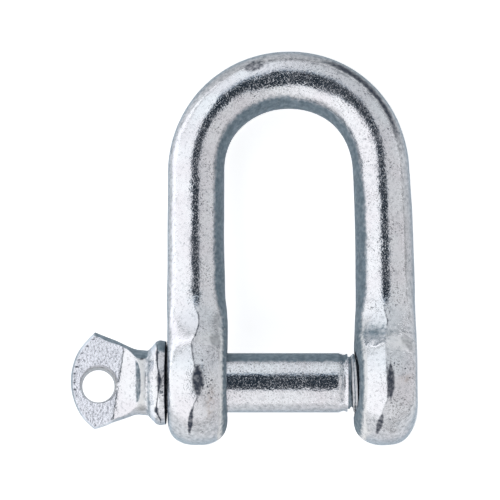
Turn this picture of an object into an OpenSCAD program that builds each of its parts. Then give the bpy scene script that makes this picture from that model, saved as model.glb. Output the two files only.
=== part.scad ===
// Screw-pin dee shackle for joining chain: a forged bow with two lugs, and a screw pin
// with a flattened eye head. All sizes are in millimetres.
// The pin lies along X with its head at -X and its middle at the origin, and the crown of
// the bow points to +Y. The shackle lies flat, on the rims of its lugs and on its crown.

/* [Bow] */
// Diameter of the round bar that the bow is bent from
bar_d = 9.9; // [8:0.1:12]
// Clear width inside the bow, between its two legs
bow_w = 22; // [18:0.1:26]
// Clear length inside the bow, from the pin to the crown
inside_length = 42; // [34:0.5:56]

/* [Lugs] */
// Clear width of the jaw, between the two lugs
jaw_w = 21.2; // [18:0.1:24]
// Outside diameter of a forged lug
lug_d = 21.2; // [19:0.1:25]
// Thickness of the plain lug along the pin, at its parting line
plain_lug_t = 10.1; // [9:0.1:13]
// Thickness of the tapped lug along the pin, at its parting line
tapped_lug_t = 11; // [9:0.1:13]
// Draft of the plain lug's faces, away from the parting line
plain_lug_draft = 1.5; // [0:0.5:8]
// Draft of the tapped lug's faces, away from the parting line
tapped_lug_draft = 6; // [0:0.5:8]
// Radius of the hollow neck where the bar swells into a lug
neck_fillet = 15; // [8:0.5:22]
// Length of the flat on a lug's face along the leg, inside the rounded rim
lug_flat_l = 12; // [8:0.1:14]
// Height of the flat on a lug's face across the parting line
lug_flat_h = 14.8; // [8:0.1:16]
// Fullness of the rounded rim, where 2 is an ellipse and more is squarer
rim_fullness = 2.4; // [2:0.1:3]
// Height of the step that the dies leave around the bar
die_step = 0.05; // [0.04:0.01:0.3]
// Depth of the countersink at each mouth of the tapped hole
mouth_chamfer = 0.4; // [0.1:0.1:0.8]

/* [Pin shank] */
// Diameter of the pin's plain shank
pin_d = 10; // [8:0.1:11]
// Radial clearance of the shank in the plain lug
shank_clearance = 0.3; // [0.1:0.05:0.5]
// Outside diameter of the pin's thread
thread_d = 9.8; // [7:0.1:10]
// Radial clearance of the thread's outside in the tapped lug
thread_clearance = 0.1; // [0.05:0.05:0.3]
// Length of thread left showing between the shoulder and the tapped lug
thread_show = 1; // [0.8:0.1:3]
// Width of the groove where the thread runs out at the shoulder
runout_w = 0.7; // [0.3:0.1:1.2]
// Depth of that groove below the thread's outside
runout_depth = 0.5; // [0.2:0.1:1]
// Length of the chamfer on the shank's shoulder
shoulder_chamfer = 0.9; // [0.3:0.1:1.5]
// Depth of the chamfer on the shank's shoulder
shoulder_drop = 0.3; // [0.1:0.05:0.8]
// Chamfer on the pin's tip
tip_chamfer = 0.9; // [0.3:0.1:1.5]
// How far the tip stops short of the tapped lug's outer face
tip_inset = 0.7; // [0:0.1:2]

/* [Pin head] */
// Gap between the collar and the plain lug
seat_gap = 0.25; // [0.1:0.05:0.6]
// Diameter of the collar
collar_d = 14.3; // [12.5:0.1:18]
// Width of the collar's rim
collar_rim_w = 1.8; // [1:0.1:4]
// Width of the cone behind the collar's rim
collar_cone_w = 1.2; // [0.8:0.1:3]
// Rounding of the collar's edges
collar_round = 0.5; // [0.2:0.1:0.8]
// Diameter of the round neck behind the collar
head_neck_d = 10.9; // [9:0.1:12]
// Length of the round neck, from the collar's cone to the flare
head_neck_l = 2; // [1.5:0.1:5]
// Length of the flare, from the neck to the corners of the blade
flare_l = 7; // [5:0.1:10]
// Radius of the hollow between the neck and the flare
flare_fillet = 4; // [1:0.5:5]
// Width of the blade across its corners
blade_span = 16.4; // [14:0.1:20]
// Depth of the blade's curved end, past its corners
blade_end_l = 4.1; // [2:0.1:7]
// Thickness of the blade
blade_t = 4.6; // [3:0.1:6]
// Radius of the ramp from the blade's flats to the neck
ramp_r = 3.9; // [3.5:0.1:6]
// How far the ramp reaches into the round neck
ramp_inset = 0.8; // [0:0.1:1.2]
// Angle of the blade about the pin, from the plane of the bow
blade_turn = 5; // [-90:1:90]

/* [Eye in the head] */
// Diameter of the eye's hole
eye_d = 5.7; // [3:0.1:6]
// Distance of the hole from the corners of the blade, towards the neck
eye_inset = 0.7; // [0:0.1:2]
// Sideways offset of the hole from the pin's axis, as it was punched
eye_offset = 0.6; // [0:0.1:1]
// Chamfer around the hole
eye_chamfer = 0.3; // [0.1:0.05:0.5]

/* [Hidden] */

$fn = 96;
zinc = [0.78, 0.80, 0.83];
bright_zinc = [0.82, 0.84, 0.86];

bar_r = bar_d / 2;
pin_r = pin_d / 2;
lug_r = lug_d / 2;

// The legs stand over the lugs, and the crown is a half ring between the legs.
leg_x = (bow_w + bar_d) / 2;
plain_outer_x = -jaw_w / 2 - plain_lug_t;
tapped_outer_x = jaw_w / 2 + tapped_lug_t;
crown_line_y = pin_r + inside_length + bar_r;
crown_centre_y = crown_line_y - leg_x;

// The neck is an arc that touches both the side of the bar and the round of the lug.
bar_end_r = bar_r + die_step;
neck_top_y = sqrt(pow(lug_r + neck_fillet, 2) - pow(bar_end_r + neck_fillet, 2));
neck_touch_y = neck_top_y * lug_r / (lug_r + neck_fillet);

// Lying at rest, the thinner crown drops until it meets the surface under the lugs.
rest_tilt = asin((lug_r - bar_r) / crown_line_y);

plain_bore_d = pin_d + 2 * shank_clearance;
tapped_bore_d = thread_d + 2 * thread_clearance;

// Places along the pin, from its tip to the end of its blade
tip_x = tapped_outer_x - tip_inset;
shoulder_x = jaw_w / 2 - thread_show;
seat_x = plain_outer_x - seat_gap;
rim_x = seat_x - collar_rim_w;
cone_x = rim_x - collar_cone_w;
flare_x = cone_x - head_neck_l;
corner_x = flare_x - flare_l;
blade_end_x = corner_x - blade_end_l;
ramp_x = flare_x + ramp_inset - ramp_run();
eye_x = corner_x + eye_inset;

// Steps along and around the computed surfaces
lug_sides = 40;
neck_rings = 14;
rim_rings = 10;
arc_steps = 8;
past = 1;

// How far along the pin the ramp takes to climb from the blade's flat to the round neck
function ramp_run() =
    let (climb = (head_neck_d - blade_t) / 2)
    sqrt(max(0, climb * (2 * ramp_r - climb)));

function mix(a, b, share) = a + (b - a) * share;
function ease(share) = share * share * (3 - 2 * share);

// Half height of a lug at y, seen along the pin: the round of the lug, then the neck's arc
function lug_half_height(y) =
    y <= neck_touch_y
        ? sqrt(max(0, lug_r * lug_r - y * y))
        : bar_end_r + neck_fillet - sqrt(neck_fillet * neck_fillet - pow(neck_top_y - y, 2));

// Share of a lug's half width that is left at a share u of its reach: full over the flat,
// then falling along a superellipse to nothing at the rim
function rim_share(u, flat, fullness) =
    let (edge = max(0, (abs(u) - flat) / (1 - flat)))
    pow(max(0, 1 - pow(edge, fullness)), 1 / fullness);

// Share of the way from the pin's height to the top of the neck, eased at both ends
function neck_share(y) = ease(max(0, y / neck_top_y));

// Half width, at height y and a share u of its half height, of a lug of thickness t. Below
// the pin the lug is round about the pin, and above it the section eases into the round bar.
function lug_half_width(y, u, t, draft) =
    let (
        z = abs(u) * lug_half_height(y),
        reach = norm([y, z]),
        across = reach > 0 ? pow(z / reach, 2) : 0,
        flat_below = mix(lug_flat_l, lug_flat_h, across) / lug_d,
        flat_above = lug_flat_h / lug_d,
        share = neck_share(y),
        half = mix(t / 2 - z * tan(draft), bar_end_r, share)
    )
    half * (y <= 0
        ? rim_share(reach / lug_r, flat_below, rim_fullness)
        : rim_share(u, mix(flat_above, 0, share), mix(rim_fullness, 2, share)));

// One closed section at height y of a lug of thickness t, whose middle lies aside of its leg
function lug_ring(y, t, draft, aside) = [
    for (k = [0 : lug_sides - 1])
        let (angle = 360 * k / lug_sides, u = sin(angle))
        [
            mix(aside, 0, neck_share(y)) + sign(cos(angle)) * lug_half_width(y, u, t, draft),
            y,
            u * lug_half_height(y)
        ]
];

lug_heights = concat(
    [for (k = [0 : neck_rings - 1]) neck_top_y * (1 - k / neck_rings)],
    [for (k = [0 : rim_rings - 1]) -lug_r * sin(90 * k / rim_rings)]
);

// Arc of radius r that rounds the corner b between a and c
function corner_arc(a, b, c, r) =
    let (
        to_a = (a - b) / norm(a - b),
        to_c = (c - b) / norm(c - b),
        half = acos(max(-1, min(1, to_a * to_c))) / 2,
        centre = b + (to_a + to_c) / norm(to_a + to_c) * r / sin(half),
        first = b + to_a * r / tan(half) - centre,
        last = b + to_c * r / tan(half) - centre,
        from = atan2(first[1], first[0]),
        turn = atan2(last[1], last[0]) - from,
        sweep = turn > 180 ? turn - 360 : turn < -180 ? turn + 360 : turn
    )
    [
        for (k = [0 : arc_steps])
            let (angle = from + sweep * k / arc_steps)
            centre + r * [cos(angle), sin(angle)]
    ];

// Half outline of the pin as places along it and radii, from its tip to the end of its blade
function pin_outline() =
    let (
        thread_r = thread_d / 2,
        groove_r = thread_r - runout_depth,
        collar_r = collar_d / 2,
        neck_r = head_neck_d / 2,
        seat = [seat_x, collar_r],
        rim = [rim_x, collar_r],
        cone = [cone_x, neck_r],
        flare = [flare_x, neck_r],
        corner = [corner_x, blade_span / 2]
    )
    concat(
        [[tip_x, 0], [tip_x, thread_r - tip_chamfer], [tip_x - tip_chamfer, thread_r]],
        [[shoulder_x + runout_w + runout_depth, thread_r], [shoulder_x + runout_w, groove_r]],
        [[shoulder_x, groove_r], [shoulder_x, pin_r - shoulder_drop]],
        [[shoulder_x - shoulder_chamfer, pin_r], [seat_x, pin_r]],
        corner_arc([seat_x, pin_r], seat, rim, collar_round),
        corner_arc(seat, rim, cone, collar_round),
        corner_arc(rim, cone, flare, collar_round),
        corner_arc(cone, flare, corner, flare_fillet),
        blade_end_arc()
    );

// Half of the blade's curved end, an arc through both corners with its top on the pin's axis
function blade_end_arc() =
    let (
        half_span = blade_span / 2,
        r = (half_span * half_span + blade_end_l * blade_end_l) / (2 * blade_end_l),
        reach = atan2(half_span, r - blade_end_l)
    )
    [
        for (k = [0 : 2 * arc_steps])
            let (angle = reach * (1 - k / (2 * arc_steps)))
            [blade_end_x + r * (1 - cos(angle)), r * sin(angle)]
    ];

// Side outline of what is pressed away above the blade: its flat, then the ramp up the neck
function flat_outline() =
    let (
        top = blade_t / 2 + ramp_r,
        reach = asin(ramp_run() / ramp_r),
        clear_z = blade_span
    )
    concat(
        [[blade_end_x - past, clear_z], [blade_end_x - past, blade_t / 2]],
        [
            for (k = [0 : 2 * arc_steps])
                let (angle = reach * k / (2 * arc_steps))
                [ramp_x + ramp_r * sin(angle), top - ramp_r * cos(angle)]
        ],
        [[ramp_x + ramp_run(), clear_z]]
    );

// Turns the upright shackle about its pin, to where it comes to rest
module laid() {
    rotate([-rest_tilt, 0, 0]) children();
}

// Round bar along X, from one place to another
module bar_along_x(from_x, to_x, d) {
    translate([from_x, 0, 0]) rotate([0, 90, 0]) cylinder(h = to_x - from_x, d = d);
}

// Lug of thickness t as it leaves the dies, lofted through its sections from the leg down to
// the bottom of its rim, with its middle that far aside of the leg
module lug_forging(t, draft, aside) {
    rings = len(lug_heights);
    pole = rings * lug_sides;
    polyhedron(
        points = concat([for (y = lug_heights) each lug_ring(y, t, draft, aside)], [[aside, -lug_r, 0]]),
        faces = concat(
            [[for (k = [0 : lug_sides - 1]) k]],
            [
                for (i = [0 : rings - 2], k = [0 : lug_sides - 1])
                    let (a = i * lug_sides, b = a + lug_sides, next = (k + 1) % lug_sides)
                    each [[a + k, b + k, a + next], [a + next, b + k, b + next]]
            ],
            [
                for (k = [0 : lug_sides - 1])
                    let (a = (rings - 1) * lug_sides)
                    [a + k, pole, a + (k + 1) % lug_sides]
            ]
        ),
        convexity = 4
    );
}

// Bar of the bow: two straight legs and the half ring of the crown
module bent_bar() {
    for (side = [-1, 1])
        translate([side * leg_x, neck_top_y - past / 2, 0])
            rotate([-90, 0, 0])
                cylinder(h = crown_centre_y - neck_top_y + past / 2, d = bar_d);
    translate([0, crown_centre_y, 0])
        rotate_extrude(angle = 180) translate([leg_x, 0]) circle(d = bar_d);
}

// Hole for the thread, with a countersink at both mouths
module tapped_hole() {
    inner_x = jaw_w / 2;
    mouth_d = tapped_bore_d + 2 * mouth_chamfer;
    bar_along_x(inner_x - past, tapped_outer_x + past, tapped_bore_d);
    for (mouth = [[inner_x, 90], [tapped_outer_x, -90]])
        translate([mouth[0], 0, 0])
            rotate([0, mouth[1], 0])
                translate([0, 0, -past])
                    cylinder(h = past + mouth_chamfer, d1 = mouth_d + 2 * past, d2 = tapped_bore_d);
}

module bow() {
    color(zinc)
        laid()
            difference() {
                union() {
                    bent_bar();
                    translate([-leg_x, 0, 0])
                        lug_forging(plain_lug_t, plain_lug_draft, leg_x - (jaw_w + plain_lug_t) / 2);
                    translate([leg_x, 0, 0])
                        lug_forging(tapped_lug_t, tapped_lug_draft, (jaw_w + tapped_lug_t) / 2 - leg_x);
                }
                bar_along_x(plain_outer_x - past, -jaw_w / 2 + past, plain_bore_d);
                tapped_hole();
            }
}

// Hole of the head's eye, with a chamfer on both faces of the blade
module eye_hole() {
    chamfer_d = eye_d + 2 * eye_chamfer;
    translate([eye_x, -eye_offset, 0]) {
        cylinder(h = blade_t + 2 * past, d = eye_d, center = true);
        for (face = [0, 180])
            rotate([face, 0, 0])
                translate([0, 0, blade_t / 2 - eye_chamfer])
                    cylinder(h = eye_chamfer + past, d1 = eye_d, d2 = chamfer_d + 2 * past);
    }
}

module screw_pin() {
    color(bright_zinc)
        laid()
            rotate([blade_turn, 0, 0])
                difference() {
                    rotate([0, 90, 0])
                        rotate_extrude()
                            polygon([for (p = pin_outline()) [p[1], p[0]]]);
                    for (face = [0, 180])
                        rotate([face, 0, 0])
                            rotate([90, 0, 0])
                                linear_extrude(height = 2 * blade_span, center = true)
                                    polygon(flat_outline());
                    eye_hole();
                }
}

bow();
screw_pin();
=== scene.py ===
"""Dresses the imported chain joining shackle: forged bow, screw pin and tapped hole, in metres."""
import logging
import math
from dataclasses import dataclass
from enum import Enum

import bpy
import numpy as np
from mathutils import Matrix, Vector
from numpy.typing import NDArray


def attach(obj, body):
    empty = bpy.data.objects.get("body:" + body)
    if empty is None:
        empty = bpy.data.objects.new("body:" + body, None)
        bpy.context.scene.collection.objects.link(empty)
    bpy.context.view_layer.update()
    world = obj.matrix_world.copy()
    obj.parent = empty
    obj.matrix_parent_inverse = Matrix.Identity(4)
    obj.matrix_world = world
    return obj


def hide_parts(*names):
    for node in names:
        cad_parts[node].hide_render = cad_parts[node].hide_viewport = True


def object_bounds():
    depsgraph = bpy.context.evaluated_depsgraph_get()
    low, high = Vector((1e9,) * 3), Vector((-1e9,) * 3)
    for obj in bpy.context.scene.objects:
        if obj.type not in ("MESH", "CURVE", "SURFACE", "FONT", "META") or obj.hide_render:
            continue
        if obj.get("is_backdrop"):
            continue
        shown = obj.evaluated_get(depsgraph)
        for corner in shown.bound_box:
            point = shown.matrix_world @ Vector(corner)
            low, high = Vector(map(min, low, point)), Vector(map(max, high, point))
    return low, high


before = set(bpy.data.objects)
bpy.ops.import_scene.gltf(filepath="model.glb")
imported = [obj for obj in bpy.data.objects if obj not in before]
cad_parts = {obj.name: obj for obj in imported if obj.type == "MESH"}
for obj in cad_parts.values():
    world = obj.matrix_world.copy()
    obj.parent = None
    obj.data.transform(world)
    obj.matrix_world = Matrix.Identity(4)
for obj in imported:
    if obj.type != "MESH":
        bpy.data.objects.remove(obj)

Array = NDArray[np.float64]
Course = tuple[tuple[float, float, float], ...]
Colour = tuple[float, float, float]
Point = Array | tuple[float, float]
Socket = bpy.types.NodeSocket
Piece = bpy.types.Object

MM = 0.001
LOG = logging.getLogger("shackle")


class Body(Enum):
    """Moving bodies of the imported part."""

    BOW = "bow"
    PIN = "pin"


class Slot(Enum):
    """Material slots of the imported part's record."""

    BOW = "bow_zinc"
    PIN = "pin_zinc"


class Ends(Enum):
    """How the first and last ring of a grid are closed."""

    POLES = "poles"
    LOOP = "loop"


class Trait(Enum):
    """Traits of the plating, painted shade and painted highlights among them, that are stored with a mesh."""

    PAINTED_SHADE = "painted_shade_tone"
    WORN_AND_SHADE = "worn_and_shade"
    BARE_AND_SHADE = "bare_and_shade"
    MATT_AND_HIGHLIGHT = "matt"
    GRAIN = "grain"
    GRIT = "grit"
    STAIN = "stain"


def mix(a: Array | float, b: Array | float, share: Array | float) -> Array:
    """Straight blend from a at share 0 to b at share 1."""
    return a + (b - a) * share


def ease(x: Array, low: Array | float, high: Array | float) -> Array:
    """Smooth step: 0 up to low, 1 from high, 3t^2 - 2t^3 between."""
    t = np.clip((x - low) / (high - low), 0.0, 1.0)
    return t * t * (3.0 - 2.0 * t)


def fade(x: Array, low: Array | float, high: Array | float) -> Array:
    """Smooth step down: 1 up to low, 0 from high."""
    return 1.0 - ease(x, low, high)


def window(x: Array, rise: tuple[float, float], fall: tuple[float, float]) -> Array:
    """Share of 1 between two soft edges: it rises over the first pair and falls over the second."""
    return ease(x, *rise) * fade(x, *fall)


def bell(x: Array, middle: Array | float, half: Array | float) -> Array:
    """Gaussian share: 1 at the middle and 1 / e at half away from it."""
    return np.exp(-((x - middle) / half) ** 2)


def strongest(*shares: Array | float) -> Array:
    """The greatest of several shares at each place."""
    return np.maximum.reduce(np.broadcast_arrays(*shares))


def smooth_min(a: Array, b: Array, blend: float) -> Array:
    """The lesser of a and b, with the corner rounded where they are within blend of each other."""
    near = np.maximum(blend - np.abs(a - b), 0.0)
    return np.minimum(a, b) - near * near / (4.0 * blend)


def plane_waves(points: Array, length: float, count: int, seed: int) -> Array:
    """Works out a gentle uneven height: the mean of cosines along seeded random directions.

    Args:
        points: Places in millimetres, with x, y and z on the last axis.
        length: Mean wave length in millimetres.
        count: How many waves are summed.
        seed: Seed of the directions and phases.

    Returns:
        Heights of about -1 to 1, one for each place.
    """
    rng = np.random.default_rng(seed)
    heading = rng.normal(size=(count, 3))
    heading /= np.linalg.norm(heading, axis=1, keepdims=True)
    pace = 2.0 * math.pi / (length * rng.uniform(0.7, 1.4, size=(count, 1)))
    phase = rng.uniform(0.0, 2.0 * math.pi, size=count)
    return np.cos(points @ (heading * pace).T + phase).sum(axis=-1) * math.sqrt(2.0 / count) * 0.6


def along(start: Point, end: Point, step: float) -> Array:
    """Works out points on a straight line.

    Args:
        start: First point, kept.
        end: Last point, left out.
        step: About how far apart the points are.

    Returns:
        The points in order.
    """
    length = math.dist(start, end)
    share = np.linspace(0.0, 1.0, max(2, round(length / step) + 1))[:-1, None]
    return mix(np.array(start), np.array(end), share)


def rounded(before: Point, corner: Point, after: Point, radius: float, count: int) -> Array:
    """Rounds the corner of an outline with a circular arc that touches both lines.

    The arc's centre lies on the corner's bisector, at radius / sin(half the angle) from the corner.

    Args:
        before: Outline point that comes before the corner.
        corner: The corner itself.
        after: Outline point that comes after it.
        radius: Radius of the arc.
        count: Number of points on the arc.

    Returns:
        Points of the arc from its start to its end.
    """
    middle = np.array(corner)
    back = np.array(before) - middle
    ahead = np.array(after) - middle
    back /= np.linalg.norm(back)
    ahead /= np.linalg.norm(ahead)
    half = 0.5 * math.acos(float(np.clip(back @ ahead, -1.0, 1.0)))
    bisector = (back + ahead) / np.linalg.norm(back + ahead)
    centre = middle + bisector * radius / math.sin(half)
    first = middle + back * radius / math.tan(half) - centre
    last = middle + ahead * radius / math.tan(half) - centre
    sweep = math.pi - 2.0 * half
    t = np.linspace(0.0, 1.0, count)[:, None]
    return centre + (np.sin((1.0 - t) * sweep) * first + np.sin(t * sweep) * last) / math.sin(sweep)


def turned_about_x(points: Array, degrees: float) -> Array:
    """Turns places about the X axis: y cos - z sin, and y sin + z cos."""
    c, s = math.cos(math.radians(degrees)), math.sin(math.radians(degrees))
    return points @ np.array([[1.0, 0.0, 0.0], [0.0, c, s], [0.0, -s, c]])


def grid_normals(rings: Array) -> Array:
    """Works out unit normals of a grid of rings, from the cross product of its two slopes.

    Args:
        rings: Grid of places, ring by ring, closed round each ring.

    Returns:
        Unit normals, outwards where the rings run right-handed along their path.
    """
    down = np.gradient(rings, axis=0)
    round_ring = np.roll(rings, -1, axis=1) - np.roll(rings, 1, axis=1)
    normal = np.cross(down, round_ring)
    return normal / np.maximum(np.linalg.norm(normal, axis=-1, keepdims=True), 1e-12)


def grid_object(name: str, rings: Array, ends: Ends) -> Piece:
    """Makes a closed mesh object from a grid of rings in millimetres.

    Each ring is closed on itself. With poles, the middle of the first and last ring closes the mesh
    with a fan; with a loop, the last ring joins the first.

    Args:
        name: Name of the object and its mesh.
        rings: Grid of places, ring by ring.
        ends: How the two ends are closed.

    Returns:
        The object, linked to the scene, smooth shaded, faces outwards.
    """
    rows, columns = rings.shape[:2]
    index = np.arange(rows * columns).reshape(rows, columns)
    upper = index if ends is Ends.LOOP else index[:-1]
    lower = np.roll(index, -1, axis=0) if ends is Ends.LOOP else index[1:]
    quads = np.stack([upper, np.roll(upper, -1, axis=1), np.roll(lower, -1, axis=1), lower], axis=-1)
    points = rings.reshape(-1, 3)
    fans = np.empty((0, 3), dtype=int)
    if ends is Ends.POLES:
        poles = np.stack([rings[0].mean(axis=0), rings[-1].mean(axis=0)])
        points = np.vstack([points, poles])
        first = np.stack([np.roll(index[0], -1), index[0], np.full(columns, rows * columns)], axis=-1)
        last = np.stack([index[-1], np.roll(index[-1], -1), np.full(columns, rows * columns + 1)], axis=-1)
        fans = np.vstack([first, last])
    quads = quads.reshape(-1, 4)
    corners = points[quads]
    volume = np.einsum("ij,ij->i", corners[:, 0], np.cross(corners[:, 1], corners[:, 2])).sum()
    volume += np.einsum("ij,ij->i", corners[:, 0], np.cross(corners[:, 2], corners[:, 3])).sum()
    if volume < 0.0:
        quads, fans = quads[:, ::-1], fans[:, ::-1]
    mesh = bpy.data.meshes.new(name)
    mesh.from_pydata((points * MM).tolist(), [], quads.tolist() + fans.tolist())
    mesh.polygons.foreach_set("use_smooth", np.ones(len(mesh.polygons), dtype=bool))
    mesh.update()
    piece = bpy.data.objects.new(name, mesh)
    bpy.context.scene.collection.objects.link(piece)
    return piece


def turned_about_line(name: str, profile: Array, place: Array, axis: Array) -> Piece:
    """Makes a solid of revolution to cut a hole with.

    Each profile point (along, radius) becomes a circle round the line, along it by the first value.

    Args:
        name: Name of the object.
        profile: Points (along, radius) in millimetres, from one end to the other.
        place: Where along = 0 lies, in millimetres.
        axis: Direction of the line, not along Y.

    Returns:
        The closed object.
    """
    line = axis / np.linalg.norm(axis)
    side = np.cross(line, [0.0, 1.0, 0.0])
    side /= np.linalg.norm(side)
    up = np.cross(line, side)
    around = np.linspace(0.0, 2.0 * math.pi, 96, endpoint=False)[None, :, None]
    reach, radius = profile[:, :1, None], profile[:, 1:, None]
    rings = place + reach * line + radius * (np.cos(around) * side + np.sin(around) * up)
    return grid_object(name, rings, Ends.POLES)


def cut(piece: Piece, cutters: list[Piece], sharp_deg: float) -> None:
    """Cuts holes in a piece with exact Booleans, keeps the result as its mesh and marks sharp edges.

    Args:
        piece: The piece that is cut.
        cutters: Closed solids to take away; they are removed afterwards.
        sharp_deg: Angle in degrees above which an edge is shown sharp.
    """
    for cutter in cutters:
        hole = piece.modifiers.new(cutter.name, "BOOLEAN")
        hole.operation = "DIFFERENCE"
        hole.solver = "EXACT"
        hole.object = cutter
    graph = bpy.context.evaluated_depsgraph_get()
    made = bpy.data.meshes.new_from_object(piece.evaluated_get(graph))
    piece.modifiers.clear()
    spare = piece.data
    piece.data = made
    made.name = piece.name
    bpy.data.meshes.remove(spare)
    for cutter in cutters:
        bpy.data.meshes.remove(cutter.data)
    made.polygons.foreach_set("use_smooth", np.ones(len(made.polygons), dtype=bool))
    made.set_sharp_from_angle(angle=math.radians(sharp_deg))


@dataclass(frozen=True)
class Skin:
    """Vertices of a finished piece: their places in millimetres and their unit normals."""

    places: Array
    normals: Array

    @classmethod
    def of(cls, piece: Piece) -> "Skin":
        """Reads a piece's mesh.

        Args:
            piece: The piece.

        Returns:
            Its skin.
        """
        count = len(piece.data.vertices)
        places, normals = np.empty(count * 3), np.empty(count * 3)
        piece.data.vertices.foreach_get("co", places)
        piece.data.vertices.foreach_get("normal", normals)
        return cls(places.reshape(-1, 3) / MM, normals.reshape(-1, 3))

    def turned(self, degrees: float) -> "Skin":
        """The same skin turned about the X axis."""
        return Skin(turned_about_x(self.places, degrees), turned_about_x(self.normals, degrees))


def note(piece: Piece, shares: dict[Trait, Array]) -> None:
    """Stores traits of the plating with the mesh, for the finish to read.

    Args:
        piece: The piece.
        shares: Each trait's share, 0 for none to 1 for full, one for each vertex.
    """
    for trait, share in shares.items():
        kept = piece.data.attributes.new(trait.value, "FLOAT", "POINT")
        kept.data.foreach_set("value", share.astype(np.float32))


class NodeGraph:
    """Builds one shader node tree with few words."""

    def __init__(self, tree: bpy.types.NodeTree) -> None:
        """Starts from an empty tree."""
        self.tree = tree
        tree.nodes.clear()

    def add(self, kind: str, **settings: object) -> bpy.types.Node:
        """Adds a node of a kind and sets its named properties.

        Args:
            kind: Blender's name of the node type.
            settings: Properties to set on the node.

        Returns:
            The new node.
        """
        node = self.tree.nodes.new(kind)
        for name, value in settings.items():
            setattr(node, name, value)
        return node

    def feed(self, socket: Socket, value: object) -> None:
        """Gives a socket its value.

        Args:
            socket: Input to set.
            value: Another node's output to link, or a plain value.
        """
        if isinstance(value, Socket):
            self.tree.links.new(value, socket)
        else:
            socket.default_value = value

    def noise(self, place: Socket, size: float, detail: float = 2.0, roughness: float = 0.5,
              twist: float = 0.0) -> Socket:
        """Adds a noise pattern.

        Args:
            place: Coordinates in metres.
            size: Size of one grain in millimetres.
            detail: Octaves of finer noise.
            roughness: Share of the finer noise.
            twist: Distortion of the pattern.

        Returns:
            The pattern's value, about 0.25 to 0.75.
        """
        node = self.add("ShaderNodeTexNoise")
        self.feed(node.inputs["Vector"], place)
        node.inputs["Scale"].default_value = 1.0 / (size * MM)
        node.inputs["Detail"].default_value = detail
        node.inputs["Roughness"].default_value = roughness
        node.inputs["Distortion"].default_value = twist
        return node.outputs["Fac"]

    def ranged(self, value: object, low: float, high: float, at_low: float = 0.0,
               at_high: float = 1.0) -> Socket:
        """Maps a value smoothly from one range to another.

        Args:
            value: Socket or number to map.
            low: Value that gives at_low.
            high: Value that gives at_high.
            at_low: Result at and below low.
            at_high: Result at and above high.

        Returns:
            The mapped value.
        """
        node = self.add("ShaderNodeMapRange", interpolation_type="SMOOTHSTEP")
        for name, given in (("Value", value), ("From Min", low), ("From Max", high),
                            ("To Min", at_low), ("To Max", at_high)):
            self.feed(node.inputs[name], given)
        return node.outputs["Result"]

    def noted(self, trait: Trait) -> Socket:
        """Reads a trait of the plating that is stored with the mesh, 0 where it is not."""
        return self.add("ShaderNodeAttribute", attribute_name=trait.value).outputs["Fac"]

    def sum(self, operation: str, a: object, b: object) -> Socket:
        """Adds a sum of two values.

        Args:
            operation: Blender's name of the sum, such as MULTIPLY or MAXIMUM.
            a: First socket or number.
            b: Second socket or number.

        Returns:
            The result.
        """
        node = self.add("ShaderNodeMath", operation=operation)
        self.feed(node.inputs[0], a)
        self.feed(node.inputs[1], b)
        return node.outputs["Value"]

    def blend(self, share: object, a: object, b: object) -> Socket:
        """Adds a blend of two colours.

        Args:
            share: 0 for a to 1 for b.
            a: Socket or plain colour.
            b: Socket or plain colour.

        Returns:
            The blended colour.
        """
        node = self.add("ShaderNodeMix", data_type="RGBA")
        self.feed(node.inputs["Factor"], share)
        self.feed(node.inputs["A"], (*a, 1.0) if isinstance(a, tuple) else a)
        self.feed(node.inputs["B"], (*b, 1.0) if isinstance(b, tuple) else b)
        return node.outputs["Result"]

    def bump(self, height: Socket, depth: float, under: Socket | None = None) -> Socket:
        """Adds relief to the surface.

        Args:
            height: Pattern of heights, 0 to 1.
            depth: Height of the pattern in millimetres.
            under: Normal of a coarser relief below this one.

        Returns:
            The new normal.
        """
        node = self.add("ShaderNodeBump")
        node.inputs["Strength"].default_value = 1.0
        node.inputs["Distance"].default_value = depth * MM
        self.feed(node.inputs["Height"], height)
        if under is not None:
            self.feed(node.inputs["Normal"], under)
        return node.outputs["Normal"]


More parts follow.
